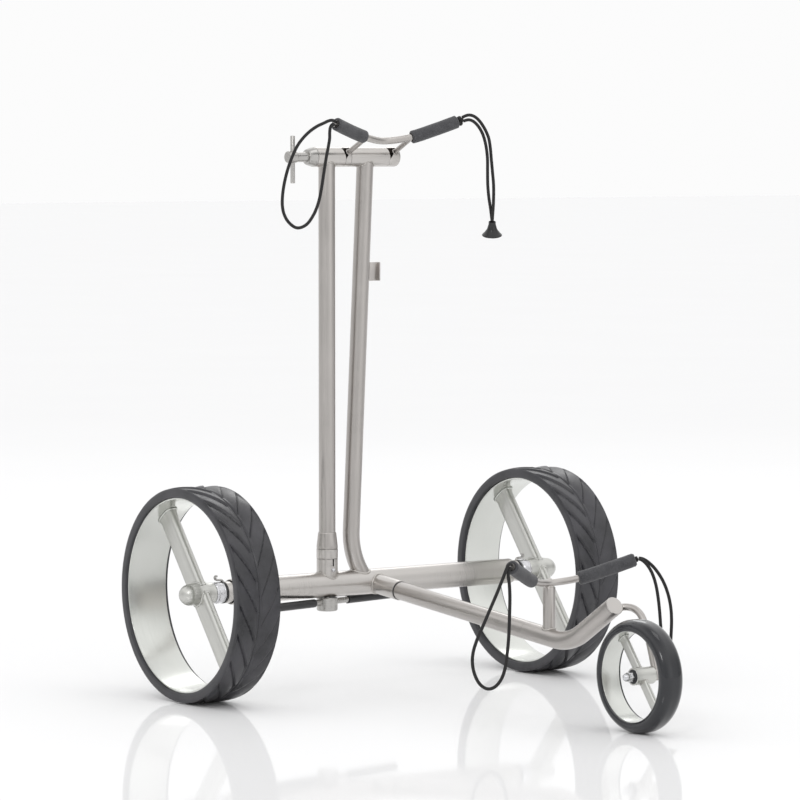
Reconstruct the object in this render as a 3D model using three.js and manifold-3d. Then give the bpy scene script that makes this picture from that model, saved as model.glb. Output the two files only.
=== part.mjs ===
// Three-wheeled golf trolley frame with two bag cradles, in millimetres, +Z up.
// Coordinates are measured from the ground point under the middle of the rear axle: +X to the
// right wheel, -Y forwards to the front wheel. The finished group is then moved by AXLE_Y, so that
// the origin is the middle of the footprint's bounding box, on the ground.
import * as THREE from 'three';
import { mergeVertices } from 'three/addons/utils/BufferGeometryUtils.js';
import Module from 'manifold-3d';

const wasm = await Module();
wasm.setup();

// ---- driving dimensions -------------------------------------------------------------------
const WHEEL_RADIUS = 150;          // rear tyre, over the tread
const WHEEL_OUTER_X = 330.7;       // outer face of each rear tyre
const WHEEL_WIDTH = 70;
const FRONT_RADIUS = 75;           // front tyre
const FRONT_WIDTH = 35;
const FRONT_Y = -596.6;            // front axle, from the rear axle
const AXLE_Y = 260.8;              // rear axle, from the middle of the bounding box
const AXLE_Z = WHEEL_RADIUS;
const AXLE_RADIUS = 18;
const AXLE_END_X = 246;
const GAP = 0.3;                   // clearance between pieces that touch
const TUBE_WALL = 1.5;
const HUB_RADIUS = 15;
const SHAFT_RADIUS = 6;
const SPOKE_ANGLE = THREE.MathUtils.degToRad(52.5);  // from +Y towards +Z
const LEFT_UPRIGHT_X = -80;
const LEFT_UPRIGHT_RADIUS = 11.75;
const RIGHT_UPRIGHT_RADIUS = 12;
const SOCKET_RADIUS = 15;
const CROSS_Z = 753.5;             // axis of the top cross tube
const CROSS_RADIUS = 14;
const SPINDLE_RADIUS = 5;
const BRACKET_X = -6.5;            // middle of the upper cradle
const STRUT_RADIUS = 12.7;
const STRUT_START = new THREE.Vector3(0, 0, 148.3);
const STRUT_DROP = THREE.MathUtils.degToRad(5.625);
const STRUT_JOINT = 360.2;         // distance along the strut to the front arm
const ARM_RISE = THREE.MathUtils.degToRad(32.3);
const ROD_RADIUS = 5;
const GRIP_RADIUS = 9.2;
const CORD_RADIUS = 2.25;
const CLAMP_BAR_Z = 125.5;
const CLAMP_BAR_YAW = THREE.MathUtils.degToRad(12);
const BUTTON_Z = 172;

const X_AXIS = new THREE.Vector3(1, 0, 0);
const Y_AXIS = new THREE.Vector3(0, 1, 0);
const Z_AXIS = new THREE.Vector3(0, 0, 1);
const STRUT_DIRECTION = new THREE.Vector3(0, -Math.cos(STRUT_DROP), -Math.sin(STRUT_DROP));
const ARM_DIRECTION = new THREE.Vector3(0, -Math.cos(ARM_RISE), Math.sin(ARM_RISE));

const material = (color, roughness, metalness) =>
  new THREE.MeshStandardMaterial({ color, roughness, metalness });
const SATIN = material(0xb9b4ae, 0.38, 1);
const BRUSHED = material(0xc9cbc3, 0.3, 1);
const CHROME = material(0xd8d8dc, 0.12, 1);
const TREAD = material(0x3f3f44, 0.75, 0);
const FRONT_RUBBER = material(0x26292d, 0.35, 0);
const FOAM = material(0x505054, 0.9, 0);
const CORD = material(0x2c2a2a, 0.7, 0);
const BLACK = material(0x2b2b2e, 0.5, 0);
const STEEL = material(0x8d8d8f, 0.3, 1);

const trolley = new THREE.Group();
trolley.position.set(0, AXLE_Y, 0);

function add(name, geometry, finish) {
  const mesh = new THREE.Mesh(geometry, finish);
  mesh.name = name;
  trolley.add(mesh);
  return mesh;
}

// ---- closed meshes --------------------------------------------------------------------------

// One closed mesh with shared vertices, no collapsed triangles and its faces pointing out.
function closed(geometry) {
  const bare = geometry.clone();
  bare.deleteAttribute('normal');
  bare.deleteAttribute('uv');
  const merged = mergeVertices(bare, 1e-3);
  const index = merged.index.array;
  const position = merged.attributes.position;
  const corner = [new THREE.Vector3(), new THREE.Vector3(), new THREE.Vector3()];
  const kept = [];
  let volume = 0;
  for (let i = 0; i < index.length; i += 3) {
    const [a, b, c] = [index[i], index[i + 1], index[i + 2]];
    if (a === b || b === c || c === a) continue;
    kept.push(a, b, c);
    [a, b, c].forEach((vertex, k) => corner[k].fromBufferAttribute(position, vertex));
    volume += corner[0].dot(corner[1].clone().cross(corner[2]));
  }
  merged.setIndex(volume < 0 ? kept.reverse() : kept);
  merged.computeVertexNormals();
  return merged;
}

function toSolid(geometry) {
  const mesh = closed(geometry);
  return new wasm.Manifold(new wasm.Mesh({
    numProp: 3,
    vertProperties: new Float32Array(mesh.attributes.position.array),
    triVerts: new Uint32Array(mesh.index.array),
  }));
}

function fromSolid(solid) {
  const mesh = solid.getMesh();
  const geometry = new THREE.BufferGeometry();
  geometry.setAttribute('position', new THREE.BufferAttribute(mesh.vertProperties, 3));
  geometry.setIndex(new THREE.BufferAttribute(mesh.triVerts, 1));
  return closed(geometry);
}

const union = (...parts) => fromSolid(parts.map(toSolid).reduce((a, b) => a.add(b)));
const cut = (part, ...tools) => fromSolid(tools.map(toSolid).reduce((a, b) => a.subtract(b), toSolid(part)));
const keepInside = (part, tool) => fromSolid(toSolid(part).intersect(toSolid(tool)));

// A turned shape: profile of [distance along the axis, radius], from origin along direction.
function turned(profile, origin, direction, sides = 16) {
  const points = profile.map(([along, radius]) => new THREE.Vector2(radius, along));
  const geometry = new THREE.LatheGeometry(points, sides);
  geometry.applyQuaternion(new THREE.Quaternion().setFromUnitVectors(Y_AXIS, direction));
  geometry.translate(origin.x, origin.y, origin.z);
  return closed(geometry);
}

const bar = (from, to, radius, origin, direction, sides) =>
  turned([[from, 0], [from, radius], [to, radius], [to, 0]], origin, direction, sides);

const pipe = (from, to, outer, inner, origin, direction, sides) =>
  turned([[from, inner], [from, outer], [to, outer], [to, inner], [from, inner]], origin, direction, sides);

const onAxle = new THREE.Vector3(0, 0, AXLE_Z);
const onCross = new THREE.Vector3(0, 0, CROSS_Z);
const onFrontAxle = new THREE.Vector3(0, FRONT_Y, FRONT_RADIUS);

// A path through given stations, so that straight runs need no steps of their own.
class StationPath extends THREE.Curve {
  constructor(stations) {
    super();
    this.stations = stations;
  }

  getPointAt(u) {
    return this.stations[Math.round(u * (this.stations.length - 1))].clone();
  }

  getTangentAt(u) {
    const last = this.stations.length - 1;
    const here = Math.round(u * last);
    const ahead = this.stations[Math.min(here + 1, last)];
    return ahead.clone().sub(this.stations[Math.max(here - 1, 0)]).normalize();
  }
}

// A round section swept through stations; inner = 0 makes it solid.
function swept(stations, outer, inner, sides) {
  const ringPoints = (radius) => Array.from({ length: sides }, (_, i) => {
    const angle = (2 * Math.PI * i) / sides;
    return new THREE.Vector2(radius * Math.cos(angle), radius * Math.sin(angle));
  });
  const section = new THREE.Shape(ringPoints(outer));
  if (inner > 0) section.holes.push(new THREE.Path(ringPoints(inner)));
  return closed(new THREE.ExtrudeGeometry(section, {
    steps: stations.length - 1,
    extrudePath: new StationPath(stations),
    bevelEnabled: false,
  }));
}

// Straight, a round bend at the corner, straight.
function bent(start, corner, end, radius, bendSteps = 6) {
  const before = start.clone().sub(corner).normalize();
  const after = end.clone().sub(corner).normalize();
  const turn = Math.PI - before.angleTo(after);
  const middle = before.clone().add(after).normalize();
  const centre = corner.clone().addScaledVector(middle, radius / Math.cos(turn / 2));
  const spoke = corner.clone().addScaledVector(before, radius * Math.tan(turn / 2)).sub(centre);
  const hinge = new THREE.Vector3().crossVectors(after, before).normalize();
  const stations = [start];
  for (let i = 0; i <= bendSteps; i += 1) {
    stations.push(spoke.clone().applyAxisAngle(hinge, (turn * i) / bendSteps).add(centre));
  }
  return [...stations, end];
}

const smooth = (points, steps) =>
  new THREE.CatmullRomCurve3(points.map((p) => new THREE.Vector3(...p))).getSpacedPoints(steps);

// A box between two corners.
function block([x0, y0, z0], [x1, y1, z1]) {
  const geometry = new THREE.BoxGeometry(x1 - x0, y1 - y0, z1 - z0);
  geometry.translate((x0 + x1) / 2, (y0 + y1) / 2, (z0 + z1) / 2);
  return geometry;
}

// A polygon drawn in the XZ plane, extruded from y0 to y1.
function prismY(outline, y0, y1) {
  const shape = new THREE.Shape(outline.map(([x, z]) => new THREE.Vector2(x, z)));
  const geometry = new THREE.ExtrudeGeometry(shape, { depth: y1 - y0, bevelEnabled: false });
  geometry.rotateX(Math.PI / 2);
  geometry.translate(0, y1, 0);
  return closed(geometry);
}

// ---- rear axle and socket ---------------------------------------------------------------------

function rearAxle() {
  const tube = pipe(-AXLE_END_X + GAP, AXLE_END_X - GAP, AXLE_RADIUS, AXLE_RADIUS - 1.8, onAxle, X_AXIS, 24);
  const socketHole = bar(-30, 30, SOCKET_RADIUS + GAP,
    new THREE.Vector3(LEFT_UPRIGHT_X, 0, AXLE_Z), Z_AXIS, 18);
  add('axle_tube', cut(tube, socketHole), SATIN);
  for (const [side, word] of [[-1, 'left'], [1, 'right']]) {
    const profile = [[312, 0], [312, 5], [311, SHAFT_RADIUS], [256, SHAFT_RADIUS], [256, HUB_RADIUS],
      [AXLE_END_X, HUB_RADIUS], [AXLE_END_X, 15.7], [205, 15.7], [205, 0]];
    add(`axle_shaft_${word}`, turned(profile, onAxle, X_AXIS.clone().multiplyScalar(side)), STEEL);
  }
}

function uprightSocket() {
  const foot = new THREE.Vector3(LEFT_UPRIGHT_X, 0, 0);
  const bore = LEFT_UPRIGHT_RADIUS + 0.35;
  const buttonHole = bar(5, 20, 3.4, new THREE.Vector3(LEFT_UPRIGHT_X, 0, BUTTON_Z),
    Y_AXIS.clone().negate(), 12);
  add('upright_socket', cut(pipe(132.3, 187, SOCKET_RADIUS, bore, foot, Z_AXIS, 18), buttonHole), SATIN);
  add('socket_ring', pipe(187.3, 200.8, SOCKET_RADIUS + 0.2, bore, foot, Z_AXIS, 18), SATIN);
  add('upright_ferrule', turned([[201.1, bore], [201.1, SOCKET_RADIUS], [205, SOCKET_RADIUS],
    [223.5, 13], [224.5, 12.6], [224.5, bore], [201.1, bore]], foot, Z_AXIS, 18), SATIN);
  const wall = LEFT_UPRIGHT_RADIUS - TUBE_WALL;
  const tube = turned([[136, 4.4], [136, LEFT_UPRIGHT_RADIUS], [CROSS_Z, LEFT_UPRIGHT_RADIUS],
    [CROSS_Z, wall], [146, wall], [146, 4.4], [136, 4.4]], foot, Z_AXIS, 18);
  add('left_upright', cut(tube, buttonHole, saddleForCross()), SATIN);
  const button = turned([[7, 0], [7, 4.2], [9, 4.2], [9, 3], [16.5, 3], [17.7, 1.8], [18, 0]],
    new THREE.Vector3(LEFT_UPRIGHT_X, 0, BUTTON_Z), Y_AXIS.clone().negate(), 14);
  add('release_button', button, CHROME);
}

const saddleForCross = () => bar(-150, 150, CROSS_RADIUS + GAP, onCross, X_AXIS, 24);
const saddleForAxle = () => bar(-250, 250, AXLE_RADIUS + GAP, onAxle, X_AXIS, 24);

function rightUpright() {
  const leanPerHeight = 0.047;
  const corner = new THREE.Vector3(-39.5, 0, 195.4);
  const top = new THREE.Vector3(corner.x + leanPerHeight * (CROSS_Z - corner.z), 0, CROSS_Z);
  const end = new THREE.Vector3(corner.x + 30, 0, corner.z - 52);
  const tube = swept(bent(top, corner, end, 100), RIGHT_UPRIGHT_RADIUS,
    RIGHT_UPRIGHT_RADIUS - TUBE_WALL, 18);
  add('right_upright', cut(tube, saddleForCross(), saddleForAxle()), SATIN);
  const plate = [[-7.9, 578], [9, 578], [9, 604.5], [-7.9, 604.5]];
  add('accessory_plate', union(prismY(plate, -0.9, 0.9), block([7.2, -5.5, 578], [9, 0.5, 604.5])), SATIN);
}

// Clamping handle under the axle: it screws up into the foot of the left upright.
function socketClamp() {
  const foot = new THREE.Vector3(LEFT_UPRIGHT_X, 0, 0);
  const along = new THREE.Vector3(Math.cos(CLAMP_BAR_YAW), Math.sin(CLAMP_BAR_YAW), 0);
  const middle = new THREE.Vector3(LEFT_UPRIGHT_X, 0, CLAMP_BAR_Z);
  const knob = turned([[113, 0], [113, 13.6], [114.4, SOCKET_RADIUS], [131.7, SOCKET_RADIUS],
    [131.7, 4], [160, 4], [160, 0]], foot, Z_AXIS);
  add('socket_clamp', union(knob, bar(-129.5, 144.5, 4.5, middle, along, 12)), STEEL);
  for (const [start, word] of [[-128.5, 'left'], [41.5, 'right']]) {
    add(`clamp_sleeve_${word}`, pipe(start, start + 102, 5.9, 4.9, middle, along, 12), BLACK);
  }
}

// ---- rear wheels --------------------------------------------------------------------------------

// A flat spoke right across a wheel, rounded at its edges, along SPOKE_ANGLE in the YZ plane.
function spokeBar(middleX, reach, width, depth, centre) {
  const edge = depth / 3;
  const shape = new THREE.Shape();
  const [w, d] = [width / 2, depth / 2];
  shape.moveTo(w - edge, -d);
  for (const [cx, cy, quarter] of [[w - edge, edge - d, 3], [w - edge, d - edge, 0],
    [edge - w, d - edge, 1], [edge - w, edge - d, 2]]) {
    for (let i = 0; i <= 3; i += 1) {
      const angle = ((quarter + i / 3) * Math.PI) / 2;
      shape.lineTo(cx + edge * Math.cos(angle), cy + edge * Math.sin(angle));
    }
  }
  const geometry = new THREE.ExtrudeGeometry(shape, { depth: 2 * reach, bevelEnabled: false });
  geometry.translate(0, 0, -reach);
  const length = new THREE.Vector3(0, Math.cos(SPOKE_ANGLE), Math.sin(SPOKE_ANGLE));
  const across = new THREE.Vector3().crossVectors(X_AXIS, length);
  geometry.applyMatrix4(new THREE.Matrix4().makeBasis(across, X_AXIS, length));
  geometry.translate(middleX, centre.y, centre.z);
  return geometry;
}

function rearWheel(side, word) {
  const outward = X_AXIS.clone().multiplyScalar(side);
  const outer = WHEEL_OUTER_X;
  const inner = WHEEL_OUTER_X - WHEEL_WIDTH;
  const middle = (outer + inner) / 2;
  const rimRadius = 135;
  const rimInside = 132.8;
  const segments = 40;
  const tread = [[outer, 135.3], [outer, 147.2], [outer - 1.3, 148.3], [outer - 12, WHEEL_RADIUS],
    [inner + 12, WHEEL_RADIUS], [inner + 1.3, 148.3], [inner, 147.2], [inner, 135.3], [outer, 135.3]];
  add(`tyre_${word}`, turned(tread, onAxle, outward, segments), TREAD);
  add(`rim_${word}`, pipe(inner + 3, outer - 3, rimRadius, rimInside, onAxle, outward, segments), BRUSHED);

  const hubOutside = turned([[327.5, 0], [326.3, 5.9], [323.1, 10.6], [318.2, 13.9], [312.5, HUB_RADIUS],
    [275.8, HUB_RADIUS], [275.8, 0]], onAxle, outward);
  const spoke = keepInside(spokeBar(side * middle, 134, 30, 12, onAxle),
    bar(middle - 10, middle + 10, rimInside - 0.4, onAxle, outward, segments));
  const bore = bar(260, 316, 11.3, onAxle, outward);
  add(`hub_spoke_${word}`, cut(union(hubOutside, spoke), bore), SATIN);
  add(`wheel_bearing_${word}`, pipe(277.5, 313.5, 11, 8.3, onAxle, outward), STEEL);

  const sleeve = turned([[312.5, 6.3], [312.5, 8], [275.5, 8], [275.5, HUB_RADIUS], [260.3, HUB_RADIUS],
    [260.3, 8], [256.3, 8], [256.3, 6.3], [312.5, 6.3]], onAxle, outward);
  add(`wheel_coupling_${word}`, sleeve, CHROME);

  const ring = pipe(256.6, 260, 15.6, 8.3, onAxle, outward);
  const tabOutline = [[256.8, 12], [259.8, 12], [259.8, 17.8], [263.6, 19.2], [269.2, 24.6], [267.6, 26.4],
    [262.2, 21.6], [256.8, 20.4]].map(([x, z]) => [side * x, AXLE_Z + z]);
  add(`release_ring_${word}`, union(ring, prismY(tabOutline, -3.5, 3.5)), BLACK);
}

// ---- top cross tube, clamp and upper cradle --------------------------------------------------------

// V-shaped notch in the front and top of the cross tube where a cradle arm leaves it.
const vNotch = (left, point, right) =>
  prismY([[left, CROSS_Z + 16], [point, CROSS_Z - 3], [right, CROSS_Z + 16]], -16, -6);

function crossTube() {
  const notches = [vNotch(-60.5, -56, -42), vNotch(18.5, 21, 37)];
  const bore = 12;
  add('cross_tube_left', cut(pipe(-102.5, -55.6, CROSS_RADIUS, bore, onCross, X_AXIS, 24), notches[0]), SATIN);
  add('cross_tube_middle',
    cut(pipe(-45.9, 20.9, CROSS_RADIUS, bore, onCross, X_AXIS, 24), ...notches), SATIN);
  const leg = (foot, top, reach) => {
    const start = new THREE.Vector3(foot, -7, CROSS_Z + 4);
    const end = new THREE.Vector3(top, -reach, CROSS_Z + 23);
    return bar(0, start.distanceTo(end), 3.5, start, end.sub(start).normalize(), 12);
  };
  const bushing = SPINDLE_RADIUS + 0.4;
  const leftRing = cut(pipe(-55.3, -46.2, CROSS_RADIUS, bushing, onCross, X_AXIS, 24), notches[0]);
  add('bracket_arm_left', union(leftRing, leg(-51.2, -44.5, 39.2)), SATIN);
  const rightCap = turned([[40, 0], [40, 12], [38.2, CROSS_RADIUS], [21.2, CROSS_RADIUS],
    [21.2, bushing], [36, bushing], [36, 0]], onCross, X_AXIS, 24);
  add('bracket_arm_right', union(cut(rightCap, notches[1]), leg(29.5, 34.7, 40.4)), SATIN);
}

// A grip starts a tenth of a step in from its tip; leftRun and rightShare say where it ends, in steps.
function cradle(names, middle, inner, rightTip, leftTip, radius, leftRun, rightShare) {
  const side = (near, tip) => [near,
    [0.5 * (near[0] + tip[0]), 0.5 * (near[1] + tip[1]) + 0.4, 0.5 * (near[2] + tip[2]) - 0.8], tip];
  const mirrored = [2 * middle[0] - inner[0], inner[1], inner[2]];
  const stations = smooth([...side(mirrored, leftTip).reverse(), middle, ...side(inner, rightTip)], 20);
  add(names.rod, swept(stations, radius, 0, 12), SATIN);
  const toward = (from, to, share) => stations[from].clone().lerp(stations[to], share);
  const leftEnd = Math.floor(leftRun);
  const left = [toward(0, 1, 0.1), ...stations.slice(1, leftEnd + 1), toward(leftEnd, leftEnd + 1, leftRun - leftEnd)];
  const right = [toward(14, 13, rightShare), ...stations.slice(14, 20), toward(20, 19, 0.1)];
  add(names.left, swept(left, GRIP_RADIUS, radius + 0.5, 12), FOAM);
  add(names.right, swept(right, GRIP_RADIUS, radius + 0.5, 12), FOAM);
}

function topClamp() {
  const pinX = -138.2;
  const pinHole = bar(-20, 20, 3.7, new THREE.Vector3(pinX, 0, CROSS_Z), Z_AXIS, 12);
  const screw = turned([[-147.8, 0], [-147.6, 6.4], [-145.8, 8.4], [-133.6, 8.4], [-132.6, 7.1], [-115.2, 7.1],
    [-115.2, 10.4], [-113.8, 11.2], [-104.6, 13.8], [-102.8, 13.8], [-102.8, SPINDLE_RADIUS],
    [35.5, SPINDLE_RADIUS], [35.5, 0]],
  onCross, X_AXIS, 16);
  add('clamp_screw', cut(screw, pinHole), STEEL);
  const pin = turned([[-33.3, 0], [-33.3, 2.6], [-32.6, 3.3], [32.6, 3.3], [33.3, 2.6], [33.3, 0]],
    new THREE.Vector3(pinX, 0, CROSS_Z - 3.4), Z_AXIS, 12);
  add('tommy_bar', pin, STEEL);
}

// ---- front strut, arm, lower cradle -------------------------------------------------------------------

function frontStrut() {
  const stub = pipe(10, 64, 14, 11.3, STRUT_START, STRUT_DIRECTION, 18);
  add('tee_stub', cut(stub, saddleForAxle()), SATIN);
  const spigot = 11;
  add('strut_tube', turned([[24, 9], [24, spigot], [67.3, spigot], [67.3, STRUT_RADIUS],
    [STRUT_JOINT - GAP, STRUT_RADIUS], [STRUT_JOINT - GAP, 11.3], [100, 11.3], [100, 9], [24, 9]],
  STRUT_START, STRUT_DIRECTION, 18), SATIN);
  add('strut_seal_ring', pipe(64.3, 67, 13.6, 11.3, STRUT_START, STRUT_DIRECTION, 18), BLACK);
}

const alongStrut = (distance) => STRUT_START.clone().addScaledVector(STRUT_DIRECTION, distance);
const armCorner = new THREE.Vector3(0, -451.2, 103.9);
const armTip = new THREE.Vector3(0, -545.9, 163.7);

function frontArm() {
  const tubeEnd = armTip.clone().addScaledVector(ARM_DIRECTION, -3.3);
  const tube = swept(bent(alongStrut(STRUT_JOINT), armCorner, tubeEnd, 95), STRUT_RADIUS,
    STRUT_RADIUS - TUBE_WALL, 18);
  const spigot = turned([[338, 9], [338, 10.9], [360.4, 10.9], [360.4, 11.8], [385, 11.8], [385, 9], [338, 9]],
    STRUT_START, STRUT_DIRECTION, 16);
  add('arm_tube', union(tube, spigot), SATIN);
  add('arm_end_cap', turned([[-12, 0], [-12, 10.7], [-3, 10.7], [-3, STRUT_RADIUS], [-0.8, STRUT_RADIUS],
    [0, 11.8], [0, 0]], armTip, ARM_DIRECTION), SATIN);
}

function lowerPost() {
  const post = bar(100, 176.6, 8.5, new THREE.Vector3(0.8, -404.5, 0), Z_AXIS, 18);
  const path = bent(alongStrut(STRUT_JOINT - 20), armCorner, armTip, 95);
  const armSpace = swept(path, STRUT_RADIUS + 0.4, 0, 18);
  const below = block([-30, -440, 60], [30, -370, 108]);
  add('lower_post', cut(post, armSpace, below), SATIN);
}

function fork() {
  const plane = 28.5;
  const rod = swept(smooth([[9, -534, 157], [14, -536.5, 158.2], [20, -541, 160], [26, -550.5, 159], [plane, -563, 152.5],
    [plane, -575, 136.5], [plane, -586, 108], [plane, FRONT_Y, FRONT_RADIUS]], 14), 4.8, 0, 12);
  const eye = bar(plane - 4.5, plane + 4.5, 8, onFrontAxle, X_AXIS, 16);
  const hole = bar(plane - 9, plane + 9, 4.3, onFrontAxle, X_AXIS, 12);
  const armSpace = bar(-60, 20, STRUT_RADIUS + 0.4, armTip, ARM_DIRECTION, 18);
  add('fork', cut(union(rod, eye), hole, armSpace), SATIN);
  const headStart = plane + 5.2;
  add('front_axle_bolt', turned([[-24, 0], [-24, 4], [headStart, 4], [headStart, 7],
    [headStart + 5, 7], [headStart + 5, 0]], onFrontAxle, X_AXIS, 12), STEEL);
  add('front_axle_nut', turned([[-12.4, 4.3], [-12.4, 6.8], [-20.5, 6.8], [-23.5, 5.8], [-26.3, 3], [-27, 0],
    [-24.6, 0], [-24.4, 4.3], [-12.4, 4.3]], onFrontAxle, X_AXIS, 12), STEEL);
}

function frontWheel() {
  const half = FRONT_WIDTH / 2;
  const rimInside = 59.6;
  const segments = 28;
  add('front_tyre', turned([[-half, 61.9], [-half, 66.8], [-half + 1.6, 70.8], [-half + 5, 73.7], [-half + 10, FRONT_RADIUS],
    [half - 10, FRONT_RADIUS], [half - 5, 73.7], [half - 1.6, 70.8], [half, 66.8], [half, 61.9], [-half, 61.9]],
  onFrontAxle, X_AXIS, segments), FRONT_RUBBER);
  add('front_rim', pipe(-half + 1.5, half - 1.5, 61.6, rimInside, onFrontAxle, X_AXIS, segments), BRUSHED);
  const spoke = keepInside(spokeBar(3, 61, 14, 7, onFrontAxle),
    bar(-8, 14, rimInside - 0.4, onFrontAxle, X_AXIS, segments));
  const hub = bar(-11, 21, 11.5, onFrontAxle, X_AXIS, 20);
  const bore = bar(-14, 25, 9.3, onFrontAxle, X_AXIS, 20);
  add('front_hub_spoke', cut(union(hub, spoke), bore), SATIN);
  add('front_bearing', pipe(-11.9, 22.5, 9, 4.3, onFrontAxle, X_AXIS, 20), BLACK);
}

// ---- elastic cords ------------------------------------------------------------------------------------

function cord(name, points, steps) {
  add(name, swept(smooth(points, steps), CORD_RADIUS, 0, 8), CORD);
}

function toggle(name, [x, y, top]) {
  add(name, turned([[0, 0], [0, 5.2], [-5, 5.6], [-11, 7.8], [-16, 11.4], [-19, 14.2], [-20.2, 14.5], [-21, 13.8], [-21, 0]],
    new THREE.Vector3(x, y, top), Z_AXIS), BLACK);
}

// A knot just past the end of a cradle rod.
function knot(name, tip, direction, size) {
  const outward = new THREE.Vector3(...direction).normalize();
  const profile = [[0.8, 0], [0.8 + 0.2 * size, 3.2 * size], [0.8 + 1.8 * size, 5.8 * size],
    [0.8 + 4 * size, 6.6 * size], [0.8 + 6.2 * size, 5.8 * size], [0.8 + 7.8 * size, 3.2 * size],
    [0.8 + 8 * size, 0]];
  add(name, turned(profile, new THREE.Vector3(...tip), outward, 12), CORD);
}

function upperCords() {
  cord('cord_upper_left', [[-109.6, -62.5, 803], [-113.3, -63.4, 804.2], [-117.8, -64.2, 804.6],
    [-123.5, -64.7, 803.4], [-131, -65, 800.6], [-141.4, -65, 796.6], [-154.1, -65, 789.4],
    [-166.2, -65, 779.6], [-175.1, -65, 769.6], [-182.2, -65, 757.8], [-188.8, -65, 744], [-194.2, -65, 729.2],
    [-198.2, -65, 714.1], [-200.5, -65, 699], [-200.6, -65, 686.6], [-197.6, -65, 674.8], [-189.6, -65, 663.6],
    [-176.2, -65, 656.2], [-160.9, -65, 660.2], [-148.4, -65, 673.7], [-140.2, -65, 690.2], [-135.1, -65, 709],
    [-130.9, -65, 731], [-126.8, -65, 752.4], [-123, -65.1, 769], [-121, -65.2, 779.5], [-120.9, -65.2, 787],
    [-120, -65, 793.4], [-117.2, -64.3, 797.8], [-114.6, -63.7, 799], [-112.1, -63.1, 798.3]], 40);
  knot('knot_upper', [101.5, -62.5, 803.2], [0.908, -0.239, 0.345], 1);
  cord('cord_upper_right_a', [[109.8, -64.7, 809.3], [113.5, -65.6, 811.1], [119, -66.6, 812.6],
    [125, -67.8, 812], [131, -69, 809], [137, -70.3, 803.5], [142.5, -71.5, 796], [147, -72.6, 788],
    [150.6, -73.3, 779], [152.8, -73.9, 766], [154.3, -74.2, 750.8], [156.3, -74.6, 731],
    [157.9, -75, 712.7], [157.2, -75.6, 688], [155.3, -75.3, 661.8]], 20);
  cord('cord_upper_right_b', [[111.6, -65.1, 804.1], [115, -66, 805.2], [119.5, -66.9, 805.9],
    [125, -67.9, 804.6], [130.5, -69.1, 800.8], [136, -70.3, 794.5], [141, -71.2, 786], [144.5, -72, 776],
    [147, -72.6, 764], [148.5, -72.9, 750], [148.6, -73, 733], [149.2, -72.8, 713], [152, -71.8, 695],
    [155.8, -70.6, 680], [158.7, -70.6, 661.8]], 20);
  toggle('toggle_upper', [157, -73, 661.2]);
}

function lowerCords() {
  cord('cord_lower_left', [[-106.6, -459.3, 217.2], [-110, -461.3, 218.4], [-114.5, -463, 216.4],
    [-119.2, -463.8, 209.4], [-124.6, -464, 198.8], [-133.2, -464, 182], [-144, -464, 162.5],
    [-157, -464, 139], [-167, -464, 121], [-173, -464, 105], [-174, -464, 91], [-170, -464, 75.7],
    [-161.5, -464, 62.8], [-149, -464, 55.7], [-136.7, -464, 57.5], [-126.6, -464, 66.4], [-120.3, -464, 79.5],
    [-116.2, -464, 101.6], [-113.6, -463.8, 124.7], [-112.2, -463.4, 151], [-111.4, -463.1, 174],
    [-112.5, -463.2, 192], [-114.4, -463.4, 202.2], [-114.2, -463.3, 207.8], [-111.8, -462.4, 212.2],
    [-108.9, -460.8, 212.6]], 36);
  knot('knot_lower', [103.5, -459, 211.2], [0.81, -0.475, 0.335], 0.6);
  cord('cord_lower_right_a', [[107.9, -464.8, 212.5], [111, -466.9, 211], [114.8, -468.9, 207.6],
    [119.3, -470.4, 202], [124.2, -471.5, 194], [128.4, -472.3, 184], [131.8, -473, 171.5],
    [134.2, -473.8, 156.5], [135.9, -474.5, 140], [137.2, -475.1, 122], [139, -475.6, 100],
    [141.2, -475.9, 84], [143.2, -476.2, 70.8]], 18);
  cord('cord_lower_right_b', [[110.7, -460.2, 213.1], [113.8, -462.2, 212.7], [117.7, -464.8, 210.8],
    [122.7, -467.8, 206.7], [128.4, -471, 200.4], [134.2, -474, 192], [139.8, -476.4, 182],
    [144.6, -478.2, 170.5], [148.2, -479.8, 157.5], [150.4, -481, 143], [151, -481.6, 127],
    [150.4, -481.4, 108], [149.4, -480.9, 88], [148.3, -480.2, 70.8]], 20);
  toggle('toggle_lower', [145.7, -478.2, 70.2]);
}

// ---- the whole trolley -----------------------------------------------------------------------------------

rearAxle();
uprightSocket();
rightUpright();
socketClamp();
rearWheel(-1, 'left');
rearWheel(1, 'right');
crossTube();
cradle({ rod: 'upper_cradle_rod', left: 'upper_grip_left', right: 'upper_grip_right' },
  [BRACKET_X, -36, 776], [BRACKET_X + 39, -46.7, 781], [101.5, -62.5, 803.2], [-109.5, -62.5, 800.2],
  ROD_RADIUS, 5.72, 0.3);
topClamp();
frontStrut();
frontArm();
lowerPost();
cradle({ rod: 'lower_cradle_rod', left: 'lower_grip_left', right: 'lower_grip_right' },
  [0, -407, 182], [39, -421.5, 187.2], [103.5, -459, 211.2], [-106, -459, 214], 4.8,
  6.7, 0.85);
fork();
frontWheel();
upperCords();
lowerCords();

export default trolley;
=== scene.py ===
"""Three-wheel golf trolley: satin metal tubes, foam grips, elastic cords and rubber tyres.

Lengths are millimetres from the ground point under the middle of the rear axle, +X to the
right wheel and -Y forwards; make() turns them into metres in the frame's own place.
"""

import math

import bmesh
import bpy
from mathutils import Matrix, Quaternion, Vector, noise


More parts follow.
